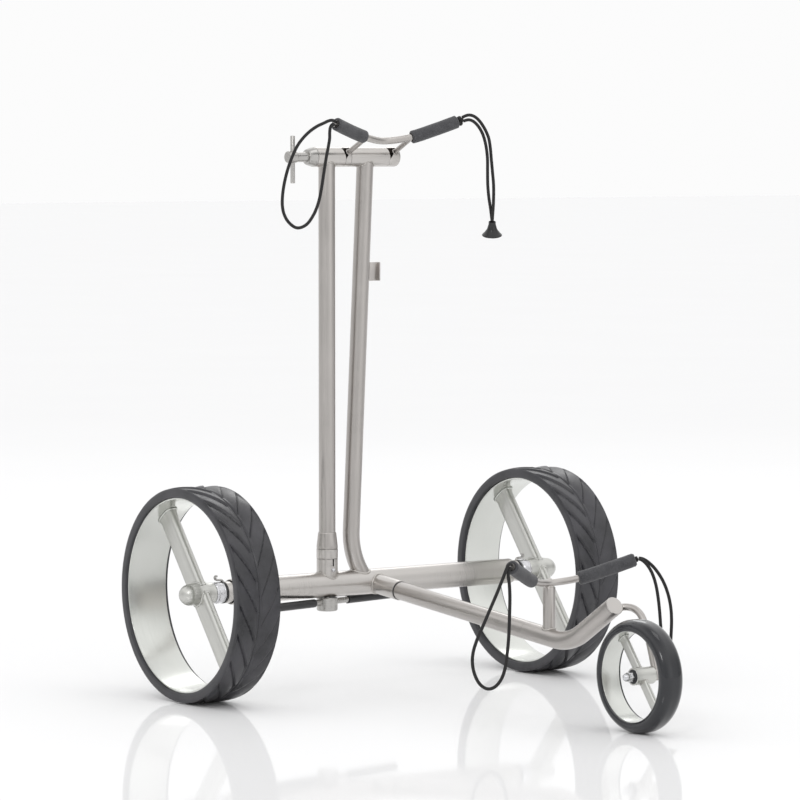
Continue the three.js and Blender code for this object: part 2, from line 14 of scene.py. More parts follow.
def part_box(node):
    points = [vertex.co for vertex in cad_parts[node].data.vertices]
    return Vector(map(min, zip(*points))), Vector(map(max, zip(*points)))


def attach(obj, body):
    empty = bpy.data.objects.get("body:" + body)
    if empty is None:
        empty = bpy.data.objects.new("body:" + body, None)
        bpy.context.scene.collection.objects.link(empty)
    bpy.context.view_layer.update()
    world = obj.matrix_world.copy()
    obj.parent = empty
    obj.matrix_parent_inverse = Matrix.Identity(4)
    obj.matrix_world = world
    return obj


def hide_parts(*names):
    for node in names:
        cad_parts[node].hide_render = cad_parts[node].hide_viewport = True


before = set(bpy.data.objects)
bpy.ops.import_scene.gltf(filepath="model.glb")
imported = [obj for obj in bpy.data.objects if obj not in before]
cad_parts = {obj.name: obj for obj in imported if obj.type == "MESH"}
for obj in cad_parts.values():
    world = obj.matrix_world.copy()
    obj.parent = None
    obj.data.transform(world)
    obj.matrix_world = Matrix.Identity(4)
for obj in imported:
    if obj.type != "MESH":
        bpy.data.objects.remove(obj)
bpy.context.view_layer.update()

MM = 0.001


def middle_of(node):
    """The middle of a solid's box, in metres."""
    return [(low + high) / 2 for low, high in zip(*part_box(node))]


ORIGIN = Vector((0, middle_of("axle_tube")[1], 0))
AXLE_Z = middle_of("axle_tube")[2] / MM
CROSS_Z = middle_of("cross_tube_left")[2] / MM
FRONT_Y = (middle_of("front_tyre")[1] - ORIGIN.y) / MM
FRONT_Z = middle_of("front_tyre")[2] / MM
LEFT_X = middle_of("left_upright")[0] / MM

X = Vector((1, 0, 0))
Y = Vector((0, 1, 0))
Z = Vector((0, 0, 1))
ON_AXLE = Vector((0, 0, AXLE_Z))
ON_CROSS = Vector((0, 0, CROSS_Z))
ON_FRONT = Vector((0, FRONT_Y, FRONT_Z))
LEFT_FOOT = Vector((LEFT_X, 0, 0))
STRUT_DROP = math.radians(5.625)
STRUT_START = Vector((0, 0, 148.3))
STRUT_WAY = Vector((0, -math.cos(STRUT_DROP), -math.sin(STRUT_DROP)))
STRUT_JOINT = 360.2
ARM_CORNER = Vector((0, -451.2, 103.9))
ARM_TIP = Vector((0, -545.9, 163.7))
ARM_RISE = math.radians(32.3)
ARM_WAY = Vector((0, -math.cos(ARM_RISE), math.sin(ARM_RISE)))
SPOKE_ANGLE = math.radians(52.5)
SPOKE_WAY = Vector((0, math.cos(SPOKE_ANGLE), math.sin(SPOKE_ANGLE)))
SPOKE_ACROSS = X.cross(SPOKE_WAY).normalized()

# Outer radii.
AXLE = 18
CROSS = 14
STUB = 14
SOCKET = 15
UPRIGHT = 12
ARM = 12.7
CORD = 2.25
TYRE = 150


def place(point):
    """Millimetres from the ground point under the rear axle, to metres in the scene."""
    return ORIGIN + Vector(point) * MM


def add(name, data):
    """A new object in the scene."""
    made = bpy.data.objects.new(name, data)
    bpy.context.scene.collection.objects.link(made)
    return made


# ---- camera ----

camera_data = bpy.data.cameras.new("camera")
camera = add("camera", camera_data)
camera.location = place((-3507.7, -4859.1, 777.8))
camera_target = place((-62.17, -150, 418.19))
camera.rotation_euler = (camera_target - camera.location).to_track_quat("-Z", "Y").to_euler()
camera_data.sensor_width = 36
camera_data.lens = 190.1
camera_data.clip_end = 200
bpy.context.scene.camera = camera


# ---- shapes ----


def across(way):
    """Two directions square to way and to each other."""
    way = way.normalized()
    helper = Z if abs(way.z) < 0.8 else Y
    first = helper.cross(way).normalized()
    return first, way.cross(first).normalized()


def skin(rings, lengths=None, closed=False, caps=True):
    """Faces over rings of equal counts of points, with a texture grid in metres."""
    count = len(rings[0])
    points = [p for ring in rings for p in ring]
    if lengths is None:
        lengths = [0.0]
        for a, b in zip(rings, rings[1:]):
            lengths.append(lengths[-1] + (b[0] - a[0]).length)
    widths = [sum((r[i] - r[i - 1]).length for i in range(count)) for r in rings]
    width = max(widths)
    faces, grid = [], []
    spans = len(rings) if closed else len(rings) - 1
    for i in range(spans):
        j = (i + 1) % len(rings)
        low, high = lengths[i], lengths[j] if j else lengths[i] + (rings[0][0] - rings[i][0]).length
        for k in range(count):
            m = (k + 1) % count
            faces.append((i * count + k, i * count + m, j * count + m, j * count + k))
            left, right = width * k / count, width * (k + 1) / count
            grid.append([(left, low), (right, low), (right, high), (left, high)])
    if caps and not closed:
        for ring, order in ((0, -1), (len(rings) - 1, 1)):
            loop = list(range(ring * count, (ring + 1) * count))[::order]
            faces.append(tuple(loop))
            grid.append([(points[v].x + points[v].y, points[v].z) for v in loop])
    return points, faces, [[(u * MM, v * MM) for u, v in face] for face in grid]


def joined(*shapes):
    """Several shapes as one mesh."""
    points, faces, grid = [], [], []
    for more_points, more_faces, more_grid in shapes:
        start = len(points)
        points += more_points
        faces += [tuple(v + start for v in face) for face in more_faces]
        grid += more_grid
    return points, faces, grid


def rounded(profile, radius, closed=False, steps=4):
    """A profile with its corners rounded; a third number on a corner is its own radius."""
    flat = [Vector(p[:2]) for p in profile]
    radii = [p[2] if len(p) > 2 else radius for p in profile]
    out, count = [], len(flat)
    for i, corner in enumerate(flat):
        if not closed and i in (0, count - 1):
            out.append(corner)
            continue
        before = flat[i - 1] - corner
        after = flat[(i + 1) % count] - corner
        turn = math.pi - before.angle(after, math.pi)
        if turn < 0.12 or radii[i] <= 0:
            out.append(corner)
            continue
        reach = min(radii[i] * math.tan(turn / 2), 0.45 * before.length, 0.45 * after.length)
        start, end = corner + before.normalized() * reach, corner + after.normalized() * reach
        for k in range(steps + 1):
            t = k / steps
            out.append(start * (1 - t) ** 2 + corner * 2 * t * (1 - t) + end * t * t)
    return [(p.x, p.y) for p in out]


def turned(profile, origin, way, sides=96, round_by=0.0, closed=False):
    """A turned shape from a profile of (distance along, radius)."""
    if round_by:
        profile = rounded(profile, round_by, closed)
    first, second = across(way)
    way = way.normalized()
    rings, lengths = [], [0.0]
    for i, (along, radius) in enumerate(profile):
        radius = max(radius, 0.02)
        centre = origin + way * along
        rings.append([centre + (first * math.cos(a) + second * math.sin(a)) * radius
                      for a in (2 * math.pi * k / sides for k in range(sides))])
        if i:
            lengths.append(lengths[-1] + math.dist(profile[i], profile[i - 1]))
    return skin(rings, lengths, closed)


def tube(start, end, bore, radius, origin, way, sides, edge):
    """A straight round tube with rounded edges, between two distances along its axis."""
    profile = [(start, bore), (start, radius), (end, radius), (end, bore)]
    return turned(profile, origin, way, sides, edge, closed=True)


def smooth_path(points, spacing):
    """A centripetal Catmull-Rom line through points, sampled evenly enough to sweep along."""
    points = [Vector(p) for p in points]
    points = [2 * points[0] - points[1], *points, 2 * points[-1] - points[-2]]
    line = []
    for p0, p1, p2, p3 in zip(points, points[1:], points[2:], points[3:]):
        d0, d1, d2 = [math.sqrt((b - a).length) for a, b in ((p0, p1), (p1, p2), (p2, p3))]
        leave = ((p1 - p0) / d0 - (p2 - p0) / (d0 + d1) + (p2 - p1) / d1) * d1
        arrive = ((p2 - p1) / d1 - (p3 - p1) / (d1 + d2) + (p3 - p2) / d2) * d1
        steps = max(2, round((p2 - p1).length / spacing))
        for k in range(steps):
            t = k / steps
            line.append(
                p1 * (2 * t**3 - 3 * t * t + 1) + leave * (t**3 - 2 * t * t + t)
                + p2 * (3 * t * t - 2 * t**3) + arrive * (t**3 - t * t)
            )
    return [*line, points[-2]]


def bent_path(start, corner, end, radius, steps):
    """Straight, a round bend at the corner, straight."""
    before, after = (start - corner).normalized(), (end - corner).normalized()
    turn = math.pi - before.angle(after)
    middle = (before + after).normalized()
    centre = corner + middle * (radius / math.cos(turn / 2))
    arm = corner + before * (radius * math.tan(turn / 2)) - centre
    hinge = after.cross(before).normalized()
    bend = [centre + Quaternion(hinge, turn * k / steps) @ arm for k in range(steps + 1)]
    line = [start.lerp(bend[0], k / 8) for k in range(8)] + bend
    return line + [bend[-1].lerp(end, k / 8) for k in range(1, 9)]


def route_length(line):
    """The length of a line of points."""
    return sum((b - a).length for a, b in zip(line, line[1:]))


def swept(line, section, sides, closed=False, caps=True):
    """A section swept along a line. It is a radius, or a function of (share, angle)."""
    size = section if callable(section) else lambda share, angle: section
    total = route_length(line)
    count = len(line)
    if closed:
        ways = [(line[(i + 1) % count] - line[i - 1]).normalized() for i in range(count)]
    else:
        ends = [(line[max(i - 1, 0)], line[min(i + 1, count - 1)]) for i in range(count)]
        ways = [(after - before).normalized() for before, after in ends]
    first = across(ways[0])[0]
    rings, lengths, done = [], [], 0.0
    for i, (point, way) in enumerate(zip(line, ways)):
        if i:
            done += (point - line[i - 1]).length
        first = (first - way * first.dot(way)).normalized()
        second = way.cross(first)
        lengths.append(done)
        ring = []
        for k in range(sides):
            angle = 2 * math.pi * k / sides
            reach = size(done / total if total else 0, angle)
            ring.append(point + (first * math.cos(angle) + second * math.sin(angle)) * reach)
        rings.append(ring)
    return skin(rings, lengths, closed, caps)


def prism(outline, way, depth, origin, first, second, bevel=0.0):
    """An outline in the plane of first and second, pushed along way, with its edges bevelled."""
    outline = rounded(outline, bevel, closed=True, steps=3) if bevel else outline
    base = [origin + first * a + second * b for a, b in outline]
    edge = min(bevel, depth / 3)
    middle = sum(base, Vector()) / len(base)
    rings = []
    bevels = ((0, edge), (edge * 0.3, edge * 0.3), (edge, 0))
    far_bevels = [(depth - offset, inset) for offset, inset in reversed(bevels)]
    for offset, inset in (*bevels, *far_bevels):
        rings.append([p + (middle - p).normalized() * inset + way * offset for p in base])
    return skin(rings)


def saddle(origin, way, radius, axis_point, axis_way, axis_radius, count=72):
    """The line where a round tube meets the outside of another one."""
    first, second = across(way)
    way, axis_way = way.normalized(), axis_way.normalized()
    line = []
    for k in range(count):
        angle = 2 * math.pi * k / count
        start = origin + (first * math.cos(angle) + second * math.sin(angle)) * radius
        gap = start - axis_point
        gap -= axis_way * gap.dot(axis_way)
        flat = way - axis_way * way.dot(axis_way)
        a, b, c = flat.dot(flat), 2 * gap.dot(flat), gap.dot(gap) - axis_radius**2
        root = math.sqrt(max(b * b - 4 * a * c, 0))
        line.append(start + way * ((-b - root) / (2 * a)))
    return line


def weld(line, radius=1.3, seed=0.0):
    """A slightly uneven weld bead along a closed line."""

    def bead(share, angle):
        here = Vector((math.cos(share * 2 * math.pi), math.sin(share * 2 * math.pi), seed))
        return radius * (1 + 0.16 * noise.noise(here * 9) + 0.05 * math.sin(share * 260))

    return swept(line, bead, sides=12, closed=True)


def welds(lines, radius, seeds=(0, 1)):
    """Weld beads along several lines, as one mesh."""
    return joined(*[weld(line, radius, seed) for line, seed in zip(lines, seeds)])


# ---- pieces ----


def make(name, shape, material, body, stands_for=(), sharp=35):
    """A named piece from a shape, riding on a body."""
    points, faces, grid = shape
    mesh = bpy.data.meshes.new(name)
    mesh.from_pydata([place(p) for p in points], [], faces)
    layer = mesh.uv_layers.new(name="grain")
    corners = [corner for face in grid for corner in face]
    layer.data.foreach_set("uv", [value for corner in corners for value in corner])
    work = bmesh.new()
    work.from_mesh(mesh)
    bmesh.ops.recalc_face_normals(work, faces=work.faces)
    work.to_mesh(mesh)
    work.free()
    mesh.shade_smooth()
    mesh.set_sharp_from_angle(angle=math.radians(sharp))
    mesh.materials.append(material)
    piece = add(name, mesh)
    if body:
        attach(piece, body)
    if stands_for:
        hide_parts(*stands_for)
    return piece


def cut_away(piece, *shapes):
    """Takes shapes out of a piece."""
    for number, shape in enumerate(shapes):
        # The cut faces take this tool's near-black material: painted shade inside the notch or slit.
        tool = make(f"{piece.name}_tool_{number}", shape, CUT_FACE_SHADE, None)
        step = piece.modifiers.new("cut", "BOOLEAN")
        step.operation = "DIFFERENCE"
        step.solver = "EXACT"
        step.object = tool
        step.material_mode = "TRANSFER"
        bpy.context.view_layer.update()
        whole = piece.evaluated_get(bpy.context.evaluated_depsgraph_get())
        mesh = bpy.data.meshes.new_from_object(whole)
        piece.modifiers.clear()
        piece.data = mesh
        bpy.data.objects.remove(tool)
    piece.data.shade_smooth()
    piece.data.set_sharp_from_angle(angle=math.radians(30))


# ---- materials ----


class Paint:
    """A Principled material with its node helpers."""

    def __init__(self, name, slot, **values):
        self.material = bpy.data.materials.new(name)
        self.material.use_nodes = True
        self.tree = self.material.node_tree
        self.shader = self.tree.nodes["Principled BSDF"]
        for socket, value in values.items():
            self.shader.inputs[socket.replace("_", " ")].default_value = value

    def node(self, kind, links=None, **settings):
        made = self.tree.nodes.new(kind)
        for key, value in settings.items():
            setattr(made, key, value)
        for socket, source in (links or {}).items():
            if isinstance(source, bpy.types.NodeSocket):
                self.tree.links.new(source, made.inputs[socket])
            else:
                made.inputs[socket].default_value = source
        return made

    def coordinates(self, scale, grain=False):
        """Places in metres times scale, over the piece or along its texture grid."""
        if grain:
            source = self.node("ShaderNodeUVMap", uv_map="grain").outputs["UV"]
        else:
            source = self.node("ShaderNodeTexCoord").outputs["Object"]
        return self.node("ShaderNodeMapping", {"Vector": source, "Scale": scale}).outputs["Vector"]

    def noise(self, scale, grain=False, detail=3.0):
        made = self.node("ShaderNodeTexNoise", {
            "Vector": self.coordinates(scale, grain), "Scale": 1.0, "Detail": detail,
            "Roughness": 0.55,
        })
        return made.outputs["Fac"]

    def between(self, value, low, high, start=0.3, end=0.7):
        made = self.node("ShaderNodeMapRange", {
            "Value": value, "From Min": start, "From Max": end, "To Min": low, "To Max": high,
        })
        return made.outputs["Result"]

    def blend(self, share, low, high):
        made = self.node("ShaderNodeMix", data_type="RGBA")
        self.tree.links.new(share, made.inputs[0])
        made.inputs[6].default_value = (*low, 1)
        made.inputs[7].default_value = (*high, 1)
        return made.outputs[2]

    def calc(self, operation, a, b=0.0):
        made = self.node("ShaderNodeMath", operation=operation)
        for socket, value in zip(made.inputs, (a, b)):
            if isinstance(value, bpy.types.NodeSocket):
                self.tree.links.new(value, socket)
            else:
                socket.default_value = value
        return made.outputs["Value"]

    def mix(self, a, a_share, b, b_share):
        return self.calc("ADD", self.calc("MULTIPLY", a, a_share), self.calc("MULTIPLY", b, b_share))

    def colour(self, source):
        self.tree.links.new(source, self.shader.inputs["Base Color"])

    def rough(self, source):
        self.tree.links.new(source, self.shader.inputs["Roughness"])

    def bump(self, height, distance, strength=1.0):
        links = {"Height": height, "Distance": distance, "Strength": strength}
        made = self.node("ShaderNodeBump", links)
        self.tree.links.new(made.outputs["Normal"], self.shader.inputs["Normal"])


def metal(name, slot, dark, light, smooth, rough, streaks, depth=0.000008):
    """Metal with fine streaks along one way of the texture grid, over a satin speckle."""
    paint = Paint(name, slot, Metallic=1.0)
    fine = paint.noise(streaks, grain=True, detail=4)
    speckle = paint.noise((2600, 2600, 2600), detail=2)
    cloud = paint.noise((9, 9, 9), detail=3)
    mixed = paint.mix(fine, 0.55, cloud, 0.45)
    paint.colour(paint.blend(paint.between(mixed, 0, 1, 0.35, 0.65), dark, light))
    worn = paint.mix(fine, 0.5, cloud, 0.5)
    paint.rough(paint.between(worn, smooth, rough, 0.3, 0.7))
    paint.bump(paint.calc("ADD", fine, paint.calc("MULTIPLY", speckle, 0.8)), depth)
    return paint.material


SATIN = metal(
    "satin_tube", "satin_metal",
    (0.41, 0.39, 0.372), (0.51, 0.485, 0.465), 0.26, 0.33, (2600, 26, 1))
SATIN_TURNED = metal(
    "satin_turned", "satin_metal",
    (0.50, 0.48, 0.46), (0.57, 0.547, 0.525), 0.26, 0.32, (24, 2600, 1), 0.000004)
WELD = metal(
    "weld_bead", "satin_metal",
    (0.38, 0.36, 0.34), (0.58, 0.56, 0.53), 0.22, 0.36, (900, 900, 1), 0.00004)
RIM = metal(
    "rim_metal", "wheel_metal",
    (0.60, 0.61, 0.58), (0.71, 0.72, 0.69), 0.19, 0.27, (9, 2300, 1))
WHEEL_SATIN = metal(
    "wheel_satin", "wheel_metal",
    (0.53, 0.53, 0.505), (0.63, 0.63, 0.60), 0.29, 0.38, (900, 14, 1), 0.000005)
POLISHED = metal(
    "polished_metal", "polished_metal",
    (0.60, 0.60, 0.62), (0.70, 0.70, 0.72), 0.18, 0.26, (60, 1400, 1), 0.000002)
STEEL = metal(
    "turned_steel", "steel",
    (0.39, 0.38, 0.37), (0.52, 0.51, 0.49), 0.22, 0.32, (20, 2400, 1))
# Near-black metal for the faces that cut_away leaves: painted shade inside the V-notches and the
# socket's saw cut.
CUT_FACE_SHADE = metal(
    "cut_face_painted_shade", "satin_metal",
    (0.035, 0.03, 0.027), (0.07, 0.06, 0.055), 0.4, 0.6, (60, 900, 1))


def rubber(name, slot, dark, light, smooth, rough, grain_size, depth, **values):
    """Rubber or plastic with a fine grain over soft clouds."""
    paint = Paint(name, slot, **values)
    fine = paint.noise((grain_size,) * 3, detail=3)
    cloud = paint.noise((24, 24, 24), detail=4)
    paint.colour(paint.blend(paint.between(cloud, 0, 1, 0.35, 0.68), dark, light))
    paint.rough(paint.between(paint.mix(cloud, 0.7, fine, 0.3), smooth, rough, 0.35, 0.65))
    paint.bump(fine, depth)
    return paint.material


TREAD = rubber(
    "tread_rubber", "tread_rubber",
    (0.013, 0.013, 0.016), (0.042, 0.041, 0.048), 0.26, 0.46, 1500, 0.00005, Specular_IOR_Level=0.6)
FRONT_RUBBER = rubber(
    "front_rubber", "front_rubber",
    (0.005, 0.006, 0.009), (0.012, 0.013, 0.017), 0.15, 0.22, 500, 0.000004,
    Specular_IOR_Level=0.22, Coat_Weight=0.85, Coat_Roughness=0.1)
PLASTIC = rubber(
    "black_plastic", "black_plastic",
    (0.018, 0.018, 0.020), (0.030, 0.030, 0.032), 0.32, 0.46, 1800, 0.00003)
GLOSSY_PLASTIC = rubber(
    "glossy_plastic", "black_plastic",
    (0.010, 0.010, 0.011), (0.018, 0.018, 0.020), 0.16, 0.26, 900, 0.00001)


def foam_material():
    paint = Paint("foam", "foam", Sheen_Weight=0.2, Sheen_Roughness=0.5)
    where = paint.coordinates((900, 900, 900))
    cells = paint.node("ShaderNodeTexVoronoi", {"Vector": where, "Scale": 1.0}).outputs["Distance"]
    cloud = paint.noise((70, 70, 70), detail=5)
    shade = paint.between(paint.mix(cells, 0.45, cloud, 0.55), 0, 1, 0.25, 0.7)
    paint.colour(paint.blend(shade, (0.028, 0.028, 0.032), (0.082, 0.082, 0.088)))
    paint.rough(paint.between(cells, 0.95, 0.78, 0.1, 0.6))
    paint.bump(paint.calc("SUBTRACT", cloud, cells), 0.0004, 0.8)
    return paint.material


FOAM = foam_material()


BRAID_STRANDS = 8
BRAID_PITCH = 0.0026


def braid_material():
    paint = Paint("braid", "cord_fabric", Sheen_Weight=0.05, Sheen_Roughness=0.5, Specular_IOR_Level=0.3)
    grid = paint.node("ShaderNodeSeparateXYZ", {"Vector": paint.coordinates((1, 1, 1), grain=True)})
    around = paint.calc("MULTIPLY", grid.outputs["X"], BRAID_STRANDS / (CORD * MM))
    along = paint.calc("MULTIPLY", grid.outputs["Y"], 2 * math.pi / BRAID_PITCH)
    right = paint.calc("SINE", paint.calc("ADD", around, along))
    left = paint.calc("SINE", paint.calc("SUBTRACT", around, along))
    weave = paint.calc("MAXIMUM", right, left)
    speck = paint.noise((1900, 1900, 1900), detail=2)
    shade = paint.mix(weave, 0.5, speck, 0.5)
    tone = paint.between(shade, 0, 1, 0.0, 0.8)
    # Darker in the gaps between the weave's strands: painted shade in the braid's grooves, over random
    # speckle tone.
    paint.colour(paint.blend(tone, (0.007, 0.007, 0.008), (0.030, 0.029, 0.029)))
    paint.rough(paint.between(speck, 0.62, 0.85))
    paint.bump(shade, 0.00025, 0.8)
    return paint.material


BRAID = braid_material()


# ---- elastic cords ----


def elastic(word, body, points):
    """A braided elastic cord from the end of a cradle rod."""
    line = smooth_path(points, 1.6)
    piece = make(f"elastic_{word}", swept(line, CORD, sides=16), BRAID, body, [f"cord_{word}"])


def toggle(word, top, way, body):
    """A flared pull with a recessed cord hole and a hollow skirt, its top towards way."""
    profile = [(-3, 0), (-3, 4.5), (-0.2, 4.6), (0, 5.1), (-4, 5.3, 6), (-11, 7.3, 10),
               (-16, 10.9, 10), (-19.2, 14.1, 1.5), (-20.2, 14.5), (-21, 13.8), (-20.6, 12.6),
               (-17, 6), (-17, 0)]
    shape = turned(profile, Vector(top), Vector(way).normalized(), 96, 0.5)
    return make(f"pull_{word}", shape, GLOSSY_PLASTIC, body, [f"toggle_{word}"])


def knot(word, tip, way, body, size):
    """A tight overhand knot past the end of a cradle rod."""
    tip, way = Vector(tip), Vector(way).normalized()
    first, second = across(way)
    steps = 90
    line = []
    for k in range(steps):
        t = 2 * math.pi * k / steps
        a, b = math.sin(t) + 2 * math.sin(2 * t), math.cos(t) - 2 * math.cos(2 * t)
        rise = way * (0.8 + size * (4.0 - 1.9 * math.sin(3 * t)))
        line.append(tip + rise + (first * a + second * b) * 1.5 * size)
    shape = swept(line, 2.1 * size**0.5, sides=16, closed=True)
    return make(f"overhand_{word}", shape, BRAID, body, [f"knot_{word}"])


upper_end = [
    toggle("upper", (157, -73, 661.2), (-0.16, -0.23, 0.96), "upper_cradle"),
    knot("upper", (100.6, -62.3, 802.9), (0.908, -0.239, 0.345), "upper_cradle", 1.2)]
lower_end = [
    toggle("lower", (145.7, -478.2, 70.2), (0, 0, 1), "arm"),
    knot("lower", (103.5, -459, 211.2), (0.81, -0.475, 0.335), "arm", 0.6)]

elastic("upper_left", "upper_cradle", [
    (-109.6, -62.5, 803), (-113.3, -63.4, 804.2), (-117.8, -64.2, 804.6), (-123.5, -64.7, 803.4),
    (-131, -65, 800.6), (-141.4, -65, 796.6), (-154.1, -65, 789.4), (-166.2, -65, 779.6),
    (-175.1, -65, 769.6), (-182.2, -65, 757.8), (-188.8, -65, 744), (-194.2, -65, 729.2),
    (-198.2, -65, 714.1), (-200.5, -65, 699), (-200.6, -65, 686.6), (-197.6, -65, 674.8),
    (-189.6, -65, 663.6), (-176.2, -65, 656.2), (-160.9, -65, 660.2), (-148.4, -65, 673.7),
    (-140.2, -65, 690.2), (-135.1, -65, 709), (-130.9, -65, 731), (-126.8, -65, 752.4),
    (-123, -65.1, 769), (-121, -65.2, 779.5), (-120.9, -65.2, 787), (-120, -65, 793.4),
    (-117.2, -64.3, 797.8), (-114.6, -63.7, 799), (-112.1, -63.1, 798.3)])
elastic("upper_right_a", "upper_cradle", [
    (109.8, -64.7, 809.3), (113.5, -65.6, 811.1), (119, -66.6, 812.6), (125, -67.8, 812),
    (131, -69, 809), (137, -70.3, 803.5), (142.5, -71.5, 796), (147, -72.6, 788),
    (150.6, -73.3, 779), (152.8, -73.9, 766), (154.3, -74.2, 750.8), (156.3, -74.6, 731),
    (157.9, -75, 712.7), (157.2, -75.6, 688), (155.3, -75.3, 661.8)])
elastic("upper_right_b", "upper_cradle", [
    (111.6, -65.1, 804.1), (115, -66, 805.2), (119.5, -66.9, 805.9), (125, -67.9, 804.6),
    (130.5, -69.1, 800.8), (136, -70.3, 794.5), (141, -71.2, 786), (144.5, -72, 776),
    (147, -72.6, 764), (148.5, -72.9, 750), (148.6, -73, 733), (149.2, -72.8, 713),
    (152, -71.8, 695), (155.8, -70.6, 680), (158.7, -70.6, 661.8)])
elastic("lower_left", "arm", [
    (-106.6, -459.3, 217.2), (-110, -461.3, 218.4), (-114.5, -463, 216.4),
    (-119.2, -463.8, 209.4), (-124.6, -464, 198.8), (-133.2, -464, 182), (-144, -464, 162.5),
    (-157, -464, 139), (-167, -464, 121), (-173, -464, 105), (-174, -464, 91),
    (-170, -464, 75.7), (-161.5, -464, 62.8), (-149, -464, 55.7), (-136.7, -464, 57.5),
    (-126.6, -464, 66.4), (-120.3, -464, 79.5), (-116.2, -464, 101.6), (-113.6, -463.8, 124.7),
    (-112.2, -463.4, 151), (-111.4, -463.1, 174), (-112.5, -463.2, 192), (-114.4, -463.4, 202.2),
    (-114.2, -463.3, 207.8), (-111.8, -462.4, 212.2), (-108.9, -460.8, 212.6)])
elastic("lower_right_a", "arm", [
    (107.9, -464.8, 212.5), (111, -466.9, 211), (114.8, -468.9, 207.6), (119.3, -470.4, 202),
    (124.2, -471.5, 194), (128.4, -472.3, 184), (131.8, -473, 171.5), (134.2, -473.8, 156.5),
    (135.9, -474.5, 140), (137.2, -475.1, 122), (139, -475.6, 100), (141.2, -475.9, 84),
    (143.2, -476.2, 70.8)])
elastic("lower_right_b", "arm", [
    (110.7, -460.2, 213.1), (113.8, -462.2, 212.7), (117.7, -464.8, 210.8),
    (122.7, -467.8, 206.7), (128.4, -471, 200.4), (134.2, -474, 192), (139.8, -476.4, 182),
    (144.6, -478.2, 170.5), (148.2, -479.8, 157.5), (150.4, -481, 143), (151, -481.6, 127),
    (150.4, -481.4, 108), (149.4, -480.9, 88), (148.3, -480.2, 70.8)])


# ---- rear wheels ----

TYRE_MIDDLE = 295.7
TYRE_HALF = 35.0
TYRE_STEPS = 880
TYRE_LANES = 64
CHEVRONS = 22
CREST = 0.46


def tread_depth(share, angle):
    """Depth of the tread below the crown, at a share of the half width and an angle round it."""
    side = abs(share)
    if side < CREST:
        lobe = 1.5 * ((side - CREST) / CREST) ** 2
    else:
        lobe = 2.2 * ((side - CREST) / (1 - CREST)) ** 2.4
    centre = 1.5 * math.exp(-((share / 0.035) ** 2))
    sweep = 0.40 * side**0.75 + 0.08 * side**3
    phase = ((angle - sweep) * CHEVRONS / (2 * math.pi) + (0.5 if share > 0 else 0)) % 1.0
    fade = min(1.0, max(0.0, (side - 0.02) / 0.10)) * min(1.0, max(0.0, (0.97 - side) / 0.10))
    step = 0.0 if phase > 0.06 else 1 - phase / 0.06
    before = 0.9 * math.exp(-(((phase - 0.965) / 0.03) ** 2))
    after = 0.9 * math.exp(-(((phase + 0.035) / 0.03) ** 2))
    scale = 2.6 * max(0.0, (phase - 0.06) / 0.94) ** 1.5 + 2.6 * step
    return lobe + centre + fade * (before + after + scale)


def rear_tyre(word, side):
    """A rear tyre with its chevron tread and rounded shoulders."""
    outer, inner = TYRE_MIDDLE + TYRE_HALF, TYRE_MIDDLE - TYRE_HALF
    wall = [(0.5, 135.3), (0, 135.8), (0, 139), (0, 143), (0.1, 145.6), (0.6, 147.0)]
    rings = []
    for k in range(TYRE_STEPS):
        angle = 2 * math.pi * k / TYRE_STEPS
        way = Vector((0, -math.cos(angle), math.sin(angle)))
        section = [(outer - inset, radius) for inset, radius in wall]
        for m in range(TYRE_LANES + 1):
            share = 0.965 - 1.93 * m / TYRE_LANES
            section.append((TYRE_MIDDLE + TYRE_HALF * share, TYRE - tread_depth(share, angle)))
        section += [(inner + inset, radius) for inset, radius in reversed(wall)]
        rings.append([ON_AXLE + X * (side * along) + way * radius for along, radius in section])
    make(f"tread_{word}", skin(rings, closed=True), TREAD, f"{word}_wheel", [f"tyre_{word}"], 50)


def flat_bar(middle, reach, width, depth, edge, flare, flare_run):
    """A flat bar with rounded edges, a little wider where it meets the rim."""
    steps = 60
    rings = []
    for k in range(steps + 1):
        point = middle + SPOKE_WAY * (reach * (2 * k / steps - 1))
        from_end = reach - abs((point - middle).length)
        grow = flare * max(0.0, 1 - from_end / flare_run) ** 2
        w, d = width / 2 + grow, depth / 2 + grow
        ring = []
        for cx, cy, quarter in ((w - edge, edge - d, 3), (w - edge, d - edge, 0),
                                (edge - w, d - edge, 1), (edge - w, edge - d, 2)):
            for m in range(7):
                angle = (quarter + m / 6) * math.pi / 2
                ring.append(point + SPOKE_ACROSS * (cx + edge * math.cos(angle))
                            + X * (cy + edge * math.sin(angle)))
        rings.append(ring)
    return skin(rings)


def bar_seams(middle, radius, width, depth, count, wide_power, deep_power):
    """Where both halves of a flat bar meet a round rim or hub; the powers square its corners."""
    lines = []
    for way in (1, -1):
        line = []
        for k in range(count):
            angle = 2 * math.pi * k / count
            wide, deep = math.cos(angle), math.sin(angle)
            a = width / 2 * abs(wide) ** wide_power * math.copysign(1, wide)
            b = depth / 2 * abs(deep) ** deep_power * math.copysign(1, deep)
            rise = math.sqrt(radius**2 - a * a)
            line.append(middle + SPOKE_ACROSS * a + X * b + SPOKE_WAY * (way * rise))
        lines.append(line)
    return lines


RIM_SEAM = (96, 0.42, 0.7)
HUB_SEAM = (64, 0.5, 0.5)


